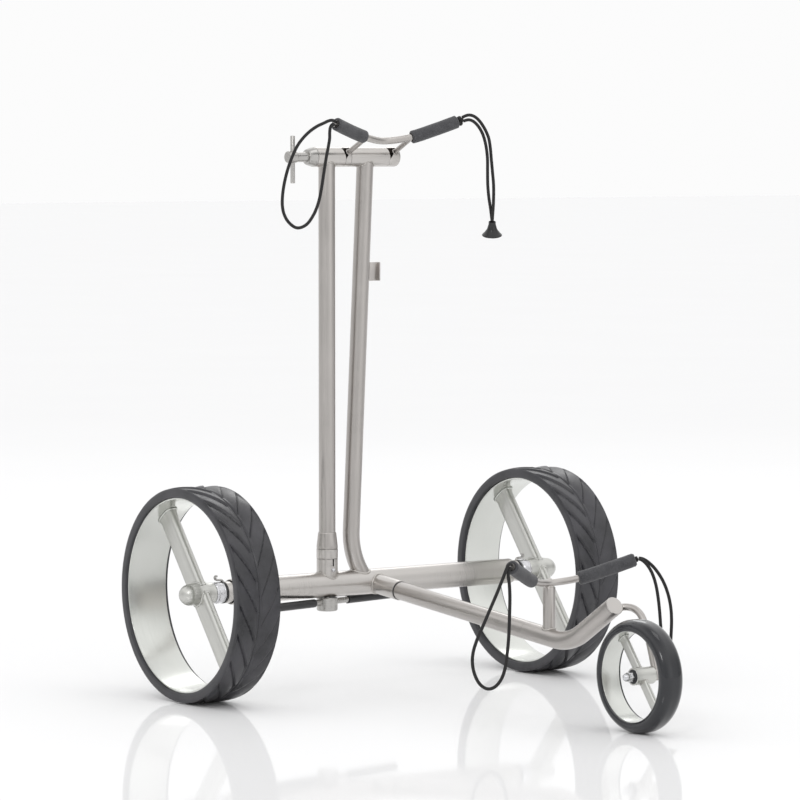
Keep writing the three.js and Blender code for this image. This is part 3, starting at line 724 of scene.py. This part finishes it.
def rear_wheel(side, word):
    """A rear wheel on its stub shaft, with its quick-release coupling and ring."""
    body = f"{word}_wheel"
    out = X * side
    middle = ON_AXLE + out * TYRE_MIDDLE
    rear_tyre(word, side)
    drum = [(327.7, 132.8, 0.9), (327.7, 135.0, 0.4), (265.4, 135.0, 0.4), (265.4, 132.8, 0.9)]
    make(f"drum_{word}", turned(drum, ON_AXLE, out, 256, 0.8, closed=True), RIM, body,
         [f"rim_{word}"])
    hub = [(327.5, 0), (327.2, 3), (326.2, 6.2), (324.4, 9.0), (321.6, 11.6), (318.4, 13.6),
           (315.2, 14.7), (312.0, 15), (308, 15.25), (304, 16.0), (301, 16.5), (290.4, 16.5),
           (287.4, 16.0), (283.4, 15.25), (279.4, 15), (276.4, 15), (275.8, 14.4), (275.8, 11.4),
           (316, 11.4), (316, 0)]
    make(f"hub_{word}", turned(hub, ON_AXLE, out, 128), WHEEL_SATIN, body,
         [f"hub_spoke_{word}"], sharp=40)
    make(f"spoke_{word}", flat_bar(middle, 132.6, 32.4, 14, 6.6, 1.2, 10), WHEEL_SATIN, body)
    rim_seams = bar_seams(middle, 131.6, 35.4, 16.8, *RIM_SEAM)
    make(f"spoke_weld_{word}", welds(rim_seams, 1.2, (1, -1)), RIM, body)
    hub_seams = bar_seams(middle, 16.4, 30.4, 13.6, *HUB_SEAM)
    make(f"hub_weld_{word}", welds(hub_seams, 1.7), WHEEL_SATIN, body)
    make(f"bearing_ring_{word}", tube(277.5, 313.5, 8.3, 11, ON_AXLE, out, 64, 0.5), STEEL, body,
         [f"wheel_bearing_{word}"])
    coupling = [(312.5, 6.3), (312.5, 8), (275.5, 8), (275.5, 14.6), (272.8, 15), (272.2, 14.2),
                (271.2, 14.2), (270.6, 15), (263.6, 15), (263, 14.4), (262.2, 14.4), (261.6, 15),
                (260.3, 14.7), (260.3, 8), (256.3, 8), (256.3, 6.3)]
    make(f"coupling_{word}", turned(coupling, ON_AXLE, out, 96, 0.35, closed=True), POLISHED,
         f"{word}_coupling", [f"wheel_coupling_{word}"], sharp=30)
    make(f"release_{word}", tube(257.0, 259.9, 8.4, 15.2, ON_AXLE, out, 96, 0.9), PLASTIC,
         f"{word}_release", [f"release_ring_{word}"])
    hook = ((258.4, 12), (258.3, 15.2), (259.4, 16.9), (262.4, 17.7), (266.2, 17.9),
            (269.2, 18.9), (270.6, 21.0), (269.6, 23.0), (267.2, 23.3))
    curl = smooth_path([ON_AXLE + out * x + Z * z for x, z in hook], 0.4)
    make(f"release_tab_{word}", swept(curl, tab_section, sides=24), STEEL, f"{word}_release")
    shaft = [(312, 0), (312, 5), (311, 6), (256, 6), (256, 14.4), (255.4, 15), (246.6, 15),
             (246, 14.4), (246, 14), (205, 14), (205, 0)]
    make(f"stub_shaft_{word}", turned(shaft, ON_AXLE, out, 96), SATIN_TURNED, "frame",
         [f"axle_shaft_{word}"], sharp=30)


def tab_section(share, angle):
    """The release tab's wire, flattened most at its root."""
    return 1.5 + 1.1 * abs(math.sin(angle)) * (1 - share * 0.6)


rear_wheel(-1, "left")
rear_wheel(1, "right")


# ---- axle, uprights and socket ----

axle = [(-245.7, 16.2), (-245.7, 17.2, 0), (-243.9, AXLE, 0.8), (243.9, AXLE, 0.8),
        (245.7, 17.2, 0), (245.7, 16.2)]
make("axle_shell", turned(axle, ON_AXLE, X, 160, 0.4, closed=True), SATIN_TURNED, "frame",
     ["axle_tube"])
socket_shell = make("socket_shell", tube(152, 187, 12.2, SOCKET, LEFT_FOOT, Z, 128, 0.5),
                    SATIN_TURNED, "frame", ["upright_socket"])
saw_cut = [(-1.1, 0), (1.1, 0), (1.1, 11), (-1.1, 11)]
cut_away(socket_shell, prism(saw_cut, Y, 8, LEFT_FOOT + Y * -SOCKET + Z * 177, X, Z))
make("socket_band", tube(187.35, 200.75, 12.2, 15.15, LEFT_FOOT, Z, 128, 0.6), SATIN_TURNED,
     "frame", ["socket_ring"])
ferrule = [(201.15, 12.2), (201.15, 15, 0.8), (202.2, 15), (202.5, 14.7), (202.8, 15),
           (205, 15, 6), (223.2, 12.9, 0.6), (224.4, 12.3), (224.4, 12.0)]
make("ferrule_shell", turned(ferrule, LEFT_FOOT, Z, 128, 0.4, closed=True), SATIN, "frame",
     ["upright_ferrule"])
make("left_tube", tube(136, 745, 10.3, 11.75, LEFT_FOOT, Z, 96, 0.3), SATIN, "frame",
     ["left_upright"])
right_corner = Vector((-39.5, 0, 195.4))
right_top = Vector((right_corner.x + 0.047 * (CROSS_Z - 8 - right_corner.z), 0, CROSS_Z - 8))
right_end = Vector((right_corner.x + 28, 0, right_corner.z - 48.5))
right_line = bent_path(right_top, right_corner, right_end, 100, 24)
make("right_tube", swept(right_line, UPRIGHT, sides=80), SATIN, "frame", ["right_upright"])
ball = [(7, 0), (7, 4.2), (9, 4.2), (9, 3), (14.6, 3), (16.4, 2.6), (17.5, 1.6), (18, 0)]
make("button_ball", turned(ball, Vector((LEFT_X, 0, 172)), -Y, 48), POLISHED, "button",
     ["release_button"], sharp=40)

right_foot_way = (right_end - right_corner).normalized()
axle_beads = [
    weld(saddle(LEFT_FOOT + Z * 400, -Z, 15.4, ON_AXLE, X, AXLE), 1.2, 0),
    weld(saddle(right_corner, right_foot_way, 12.3, ON_AXLE, X, AXLE), 1.5, 1),
    weld(saddle(STRUT_START + STRUT_WAY * 200, -STRUT_WAY, 14.3, ON_AXLE, X, AXLE), 1.6, 2),
]
make("axle_welds", joined(*axle_beads), WELD, "frame")
cross_seams = [
    saddle(LEFT_FOOT, Z, 12.0, ON_CROSS, X, CROSS),
    saddle(right_corner, (right_top - right_corner).normalized(), 12.3, ON_CROSS, X, CROSS),
]
make("cross_welds", welds(cross_seams, 1.1), WELD, "frame")

PLATE_Z = 578
PLATE_TALL = 26.5
PLATE_THICK = 1.8
plate = prism([(-7.9, 0), (9, 0), (9, PLATE_TALL), (-7.9, PLATE_TALL)], Y, PLATE_THICK,
              Vector((0, -0.9, PLATE_Z)), X, Z, 1.2)
lip = prism([(-5.5, 0), (0.6, 0), (0.6, PLATE_TALL), (-5.5, PLATE_TALL)], X, PLATE_THICK,
            Vector((7.2, 0, PLATE_Z)), Y, Z, 1.0)
make("plate_bent", joined(plate, lip), SATIN, "frame", ["accessory_plate"], sharp=30)

# ---- clamp under the axle ----

lower_knob = [(113, 0), (113, 12.6), (113.4, 13.8), (114.6, 14.8), (116, 15), (130.8, 15),
              (131.7, 14.2), (131.7, 4), (160, 4), (160, 0)]
make("lower_knob", turned(lower_knob, LEFT_FOOT, Z, 96), STEEL, "lower_clamp",
     ["socket_clamp"], sharp=30)
clamp_middle = LEFT_FOOT + Z * 125.5
clamp_turn = math.radians(12)
clamp_way = Vector((math.cos(clamp_turn), math.sin(clamp_turn), 0))
clamp_bar = [(-129.5, 0), (-129.5, 3.6), (-128.5, 4.5), (143.5, 4.5), (144.5, 3.6), (144.5, 0)]
make("lower_clamp_bar", turned(clamp_bar, clamp_middle, clamp_way, 48), STEEL, "lower_clamp")
for start, word in ((-128.5, "left"), (41.5, "right")):
    ribs = [(start, 4.9), (start, 5.6), (start + 0.3, 5.85)]
    for k in range(50):
        ribs += [(start + 1.2 + k * 2, 5.9), (start + 2 + k * 2, 5.65)]
    ribs += [(start + 101.7, 5.85), (start + 102, 5.6), (start + 102, 4.9)]
    make(f"lower_grip_sleeve_{word}", turned(ribs, clamp_middle, clamp_way, 48, closed=True),
         PLASTIC, "lower_clamp", [f"clamp_sleeve_{word}"], sharp=60)


# ---- cross tube, clamp screw and upper cradle ----


def v_notch(left, point, right):
    """A V through the front of the cross tube, its point a little below the middle."""
    outline = [(left, 17), (point, -3), (right, 17)]
    return prism(outline, Y, 13, Vector((0, -19, CROSS_Z)), X, Z)


def ring_tube(start, end, bore=12.0):
    return tube(start, end, bore, CROSS, ON_CROSS, X, 128, 0.5)


LEFT_NOTCH = v_notch(-60.5, -56, -42)
RIGHT_NOTCH = v_notch(18.5, 21, 37)
cap = turned([(40, 0), (40, 10.6), (39.6, 12), (38.8, 13.2), (37.6, 13.8), (36.2, CROSS),
              (21.7, CROSS), (21.2, 13.5), (21.2, 5.4), (36, 5.4), (36, 0)], ON_CROSS, X, 128)
for name, shape, body, node, notches in (
        ("cross_shell_left", ring_tube(-102.5, -55.6), "frame", "cross_tube_left", [LEFT_NOTCH]),
        ("cross_shell_middle", ring_tube(-45.9, 20.9), "frame", "cross_tube_middle",
         [LEFT_NOTCH, RIGHT_NOTCH]),
        ("pivot_ring_left", ring_tube(-55.3, -46.2, 5.4), "upper_cradle", "bracket_arm_left",
         [LEFT_NOTCH]),
        ("pivot_ring_right", cap, "upper_cradle", "bracket_arm_right", [RIGHT_NOTCH])):
    cut_away(make(name, shape, SATIN_TURNED, body, [node]), *notches)

spindle = [(-147.8, 0), (-147.8, 6.4, 1), (-147.2, 7.8, 0.5), (-145.8, 8.4, 0.8),
           (-133.8, 8.4, 0.5), (-132.6, 7.1, 0.4), (-115.2, 7.1, 0.3), (-115.2, 10.2, 0.4),
           (-113.6, 11.2, 0.8), (-104.6, 13.8, 1.5), (-102.8, 13.8, 0.4), (-102.8, 5, 0),
           (35.5, 5, 0.4), (35.5, 0)]
make("clamp_spindle", turned(spindle, ON_CROSS, X, 128, 0.3), STEEL, "upper_clamp",
     ["clamp_screw"], sharp=28)
tommy = [(-33.3, 0), (-33.3, 2.4), (-33.0, 3.0), (-32.5, 3.3), (32.5, 3.3), (33.0, 3.0),
         (33.3, 2.4), (33.3, 0)]
make("tommy_pin", turned(tommy, Vector((-138.2, 0, CROSS_Z - 3.4)), Z, 64), STEEL,
     "upper_clamp", ["tommy_bar"])


GRIP = 9.2
GRIP_SIDES = 56


def grip_section(run):
    """A foam sleeve's radius along its length: soft rounded ends and a slightly uneven middle."""

    def size(share, angle):
        here = share * run
        end = min(here, run - here)
        soft = 1.5 * (1 - math.sqrt(max(0.0, 1 - (1 - min(end, 1.5) / 1.5) ** 2)))
        lump = Vector((math.cos(angle) * 2.1, math.sin(angle) * 2.1, here * 0.16))
        fine = Vector((math.cos(angle) * 9, math.sin(angle) * 9, here * 0.9))
        return GRIP - soft + 0.10 * noise.noise(lump) + 0.07 * noise.noise(fine)

    return size


def grip(word, side, line, rod, body):
    """A foam sleeve over a rod, open at both ends."""
    points = swept(line, grip_section(route_length(line)), GRIP_SIDES, caps=False)[0]
    rings = [points[i:i + GRIP_SIDES] for i in range(0, len(points), GRIP_SIDES)]
    middles = [sum(ring, Vector()) / GRIP_SIDES for ring in rings]

    def shrunk(ring, centre, following, size, inward):
        step = (following - centre).normalized()
        return [centre + (p - centre).normalized() * size + step * inward for p in ring]

    bore = ((rod + 0.5, 6), (rod + 0.5, 0.5), (rod + 1.2, -0.05))
    start = [shrunk(rings[0], middles[0], middles[1], *at) for at in bore]
    end = [shrunk(rings[-1], middles[-1], middles[-2], *at) for at in reversed(bore)]
    shape = skin(start + rings + end, caps=False)
    piece = make(f"{word}_foam_{side}", shape, FOAM, body, [f"{word}_grip_{side}"], sharp=60)


def part_of(line, start, end):
    """The stretch of a line between two distances along it."""
    out, done = [], 0.0
    for a, b in zip(line, line[1:]):
        if start <= done <= end:
            out.append(a)
        done += (b - a).length
    return out


def cradle(word, body, radius, middle, inner, right_tip, left_tip, left_run, right_run, past):
    """A bent cradle rod with a foam grip on each arm; the right grip runs past the rod's end."""
    middle, inner, right_tip, left_tip = map(Vector, (middle, inner, right_tip, left_tip))
    mirrored = Vector((2 * middle.x - inner.x, inner.y, inner.z))

    def side(near, tip):
        return [near, (near + tip) / 2 + Vector((0, 0.4, -0.8)), tip]

    points = [*reversed(side(mirrored, left_tip)), middle, *side(inner, right_tip)]
    line = smooth_path(points, 1.0)
    run = route_length(line)
    make(f"{word}_rod", swept(line, radius, sides=40), SATIN, body, [f"{word}_cradle_rod"])
    grip(word, "left", part_of(line, 1.0, left_run), radius, body)
    beyond = line[-1] + (line[-1] - line[-2]).normalized() * past
    grip(word, "right", [*part_of(line, run - right_run, run), beyond], radius, body)
    return line


BRACKET_X = -6.5
upper_line = cradle(
    "upper", "upper_cradle", 5, (BRACKET_X, -36, 776), (BRACKET_X + 39, -46.7, 781),
    (101.5, -62.5, 803.2), (-109.5, -62.5, 800.2), left_run=65, right_run=73.5, past=0.2)

legs = []
for leg_x, foot_x in ((-44.5, -51.2), (34.7, 29.5)):
    foot = Vector((foot_x, -7, CROSS_Z + 4))
    top = min(upper_line, key=lambda p: abs(p.x - leg_x))
    way = (top - foot).normalized()
    legs.append(swept([foot.lerp(top, k / 10) for k in range(11)], 3.5, sides=32))
    legs.append(weld(saddle(top, -way, 3.8, ON_CROSS, X, CROSS, 40), 0.8, leg_x))
    legs.append(weld(saddle(foot, way, 3.8, top, X, 5.0, 40), 0.7, leg_x))
make("cradle_legs", joined(*legs), SATIN, "upper_cradle")


# ---- strut, arm and lower cradle ----

make("tee_shell", tube(12, 65.2, 11.4, STUB, STRUT_START, STRUT_WAY, 128, 0.5), SATIN_TURNED,
     "frame", ["tee_stub"])
make("seal_band", tube(65.4, 67, 11.4, 13.2, STRUT_START, STRUT_WAY, 96, 0.4), PLASTIC,
     "strut", ["strut_seal_ring"])
strut = [(24, 9), (24, 11), (67.3, 11), (67.3, ARM), (359.9, ARM), (359.9, 11.3), (100, 11.3),
         (100, 9)]
make("strut_shell", turned(strut, STRUT_START, STRUT_WAY, 112, 0.35, closed=True), SATIN,
     "strut", ["strut_tube"])
joint = STRUT_START + STRUT_WAY * STRUT_JOINT
arm_line = bent_path(joint, ARM_CORNER, ARM_TIP - ARM_WAY * 3.3, 95, 28)
make("arm_shell", swept(arm_line, ARM, sides=88), SATIN, "arm", ["arm_tube"])
make("spigot", tube(338, 362, 9, 10.9, STRUT_START, STRUT_WAY, 64, 0.4), STEEL, "arm")
disc = [(-12, 0), (-12, 10.7), (-3, 10.7), (-3, 12.3), (-2.7, ARM), (-0.9, ARM), (-0.3, 12.4),
        (0, 11.8), (0, 0)]
make("end_disc", turned(disc, ARM_TIP, ARM_WAY, 96), SATIN_TURNED, "arm", ["arm_end_cap"],
     sharp=24)

POST = Vector((0.8, -404.5, 0))
post = [(112, 8.5), (174.8, 8.5), (176.2, 7.9), (176.6, 7.0), (176.6, 0)]
make("post_shell", turned(post, POST, Z, 72), SATIN, "arm", ["lower_post"])
cradle(
    "lower", "arm", 4.8, (0, -407, 182), (39, -421.5, 187.2),
    (103.5, -459, 211.2), (-106, -459, 214), left_run=77, right_run=80, past=1.6)
post_foot = saddle(POST + Z * 300, -Z, 8.8, joint, (ARM_CORNER - joint).normalized(), ARM, 60)
make("post_weld", weld(post_foot, 1.7, 3), WELD, "arm")
screw = [(176, 0), (176, 6.2), (178.2, 6.4), (180, 4.3), (187, 3.2), (187.7, 2.6), (188, 1.5),
         (187.4, 1.3), (187.4, 0)]
make("saddle_screw", turned(screw, POST + Y * -0.8, Z, 48), SATIN_TURNED, "arm")

FORK_X = 28.5
fork_line = smooth_path([
    (9, -534, 157), (14, -536.5, 158.2), (20, -541, 160), (26, -550.5, 159),
    (FORK_X, -563, 152.5), (FORK_X, -575, 136.5), (FORK_X, -586, 108),
    (FORK_X, FRONT_Y + 2, FRONT_Z + 6)], 1.0)
eye = tube(FORK_X - 4.5, FORK_X + 4.5, 4.3, 8, ON_FRONT, X, 64, 0.8)
make("fork_rod", joined(swept(fork_line, 4.8, sides=40), eye), SATIN, "arm", ["fork"])
fork_foot = saddle(Vector((30, -541, 160)), Vector((-1, 0.25, -0.1)), 5.1, ARM_TIP, ARM_WAY, ARM, 40)
make("fork_weld", weld(fork_foot, 1.2, 5), WELD, "arm")


def hexagon(start, end, radius):
    """A hexagonal head on the front axle with its corners turned off."""
    chamfer = 0.9
    count = 72
    flat = radius * math.cos(math.pi / 6)
    first, second = across(X)
    rings = []
    for along, trim in ((start, chamfer), (start + chamfer * 0.6, 0),
                        (end - chamfer * 0.6, 0), (end, chamfer)):
        ring = []
        for k in range(count):
            angle = 2 * math.pi * k / count
            corner = flat / math.cos((angle % (math.pi / 3)) - math.pi / 6)
            reach = min(corner, radius - trim * 1.05)
            spoke = (first * math.cos(angle) + second * math.sin(angle)) * reach
            ring.append(ON_FRONT + X * along + spoke)
        rings.append(ring)
    return skin(rings)


bolt = turned([(-24, 0), (-24, 4), (34, 4), (34, 0)], ON_FRONT, X, 40)
make("axle_bolt", joined(bolt, hexagon(FORK_X + 5.2, FORK_X + 10.2, 7)), STEEL, "arm",
     ["front_axle_bolt"], sharp=30)
dome = [(-19, 5.8), (-20.6, 5.7), (-23, 5.1), (-25.2, 3.7), (-26.6, 1.9), (-27, 0)]
make("dome_nut", joined(hexagon(-19.5, -12.4, 6.8), turned(dome, ON_FRONT, X, 48)), POLISHED,
     "arm", ["front_axle_nut"], sharp=30)

# ---- front wheel ----

FRONT_HALF = 17.5
CROWN_DEEP = 14
CROWN_RISE = 9.8
quarter = [math.pi / 2 * k / 16 for k in range(17)]
shoulder = [(FRONT_HALF - CROWN_DEEP * (1 - math.cos(a)), 65.2 + CROWN_RISE * math.sin(a))
            for a in quarter]
lip = [(FRONT_HALF, 60.6), (17.1, 60.1), (14.9, 60.1), (14.9, 61.9)]
left_half = [(-x, r) for x, r in [*reversed(lip), *shoulder]]
front_profile = [*left_half, *reversed(shoulder), *lip]
make("front_tread", turned(front_profile, ON_FRONT, X, 224, closed=True), FRONT_RUBBER,
     "front_wheel", ["front_tyre"], sharp=50)
make("front_drum", tube(-14.6, 14.6, 59.6, 61.6, ON_FRONT, X, 192, 0.6), RIM, "front_wheel",
     ["front_rim"])
front_middle = ON_FRONT + X * 3
make("front_hub", tube(-11, 21, 9.3, 11.5, ON_FRONT, X, 96, 0.8), WHEEL_SATIN, "front_wheel",
     ["front_hub_spoke"])
make("front_spoke", flat_bar(front_middle, 59.7, 14, 7, 3.4, 0.8, 6), WHEEL_SATIN, "front_wheel")
rim_seams = bar_seams(front_middle, 58.9, 16, 9, *RIM_SEAM)
make("front_spoke_weld", welds(rim_seams, 0.8, (1, -1)), RIM, "front_wheel")
hub_seams = bar_seams(front_middle, 11.6, 12.6, 6.6, *HUB_SEAM)
make("front_hub_weld", welds(hub_seams, 0.8), WELD, "front_wheel")
make("front_bearing_seal", tube(-11.9, 22.5, 4.3, 9, ON_FRONT, X, 72, 0.7), PLASTIC,
     "front_wheel", ["front_bearing"])

# ---- studio ----

FLOOR_HALF = 40
FLOOR_SHINE = 0.2
SKY = 1.5

floor_paint = Paint("pale_floor", "satin_metal", Roughness=0.9, Specular_IOR_Level=0.0)
floor_cloud = floor_paint.noise((1.5, 1.5, 1.5), detail=2)
floor_paint.colour(floor_paint.blend(floor_cloud, (0.93, 0.93, 0.935), (0.95, 0.95, 0.955)))
floor_gloss = floor_paint.node("ShaderNodeBsdfGlossy", {"Roughness": 0.05, "Color": (1, 1, 1, 1)})
floor_mix = floor_paint.node("ShaderNodeMixShader", {
    0: FLOOR_SHINE, 1: floor_paint.shader.outputs[0], 2: floor_gloss.outputs[0]})
floor_surface = floor_paint.tree.nodes["Material Output"].inputs["Surface"]
floor_paint.tree.links.new(floor_mix.outputs[0], floor_surface)
floor_mesh = bpy.data.meshes.new("floor")
floor_corners = [(-1, -1), (1, -1), (1, 1), (-1, 1)]
floor_mesh.from_pydata([(x * FLOOR_HALF, y * FLOOR_HALF, 0) for x, y in floor_corners], [],
                       [(0, 1, 2, 3)])
floor_mesh.materials.append(floor_paint.material)
floor = add("floor", floor_mesh)

world = bpy.data.worlds.new("studio")
bpy.context.scene.world = world
world.use_nodes = True
sky = world.node_tree.nodes
sky_links = world.node_tree.links
sky["Background"].inputs["Strength"].default_value = SKY
sky_direction = sky.new("ShaderNodeTexCoord").outputs["Generated"]


def sky_node(kind, operation, *values):
    made = sky.new(kind)
    made.operation = operation
    for socket, value in zip(made.inputs, values):
        if isinstance(value, bpy.types.NodeSocket):
            sky_links.new(value, socket)
        else:
            socket.default_value = value
    return made.outputs["Value"]


def toward(way):
    """How far the view leans towards a way."""
    return sky_node("ShaderNodeVectorMath", "DOT_PRODUCT", sky_direction, Vector(way).normalized())


def shade_ramp(value, low, high, stops, strength=1.0):
    """Grey levels against a value between low and high, as shares of a strength."""
    spread = sky.new("ShaderNodeMapRange")
    sky_links.new(value, spread.inputs["Value"])
    spread.inputs["From Min"].default_value = low
    spread.inputs["From Max"].default_value = high
    made = sky.new("ShaderNodeValToRGB")
    made.color_ramp.interpolation = "B_SPLINE"
    while len(made.color_ramp.elements) < len(stops):
        made.color_ramp.elements.new(0.5)
    for element, (at, shade) in zip(made.color_ramp.elements, stops):
        element.position = (at - low) / (high - low)
        element.color = (*[shade / strength] * 3, 1)
    sky_links.new(spread.outputs["Result"], made.inputs["Fac"])
    return made.outputs["Color"]


# White all round, with a soft dim band on each side of the front and overhead between the lamps.
front_way, right_way = (-0.585, -0.81, 0), (0.81, -0.585, 0)
turn = sky_node("ShaderNodeMath", "ARCTAN2", toward(right_way), toward(front_way))
bands = [(-180, 0.972), (-140, 0.972), (-112, 0.85), (-78, 0.50), (-45, 1.0), (-2, 0.62),
         (26, 0.85), (58, 1.5), (84, 0.50), (116, 0.34), (140, 0.972), (180, 0.972)]
round_about = shade_ramp(turn, -math.pi, math.pi,
                         [(math.radians(angle), shade) for angle, shade in bands], SKY)
overhead = shade_ramp(toward(Z), -1, 1, [
    (-1, 0.972), (0.1, 0.972), (0.3, 1.0), (0.6, 1.27), (0.85, 1.13), (1, 0.6)], SKY)
above = shade_ramp(toward(Z), -1, 1, [(-1, 0), (0.3, 0), (0.6, 1), (1, 1)])
blend = sky.new("ShaderNodeMix")
blend.data_type = "RGBA"
sky_links.new(above, blend.inputs[0])
sky_links.new(round_about, blend.inputs[6])
sky_links.new(overhead, blend.inputs[7])
sky_links.new(blend.outputs[2], sky["Background"].inputs["Color"])


def soft_light(name, location, target, side, power):
    """A square soft box aimed at a target."""
    data = bpy.data.lights.new(name, "AREA")
    data.shape = "SQUARE"
    data.size = side
    data.energy = power
    light = add(name, data)
    light.location = location
    light.rotation_euler = (Vector(target) - Vector(location)).to_track_quat("-Z", "Y").to_euler()


soft_light("key", (-3.2, -2.6, 2.6), (0, 0, 0.3), 0.9, 16)
soft_light("top", (0.6, -0.6, 3.6), (0, 0, 0), 1.2, 5)
soft_light("back", (2.4, 3.0, 2.9), (0, 0, 0.2), 1.3, 9)
bpy.context.scene.view_settings.view_transform = "Standard"
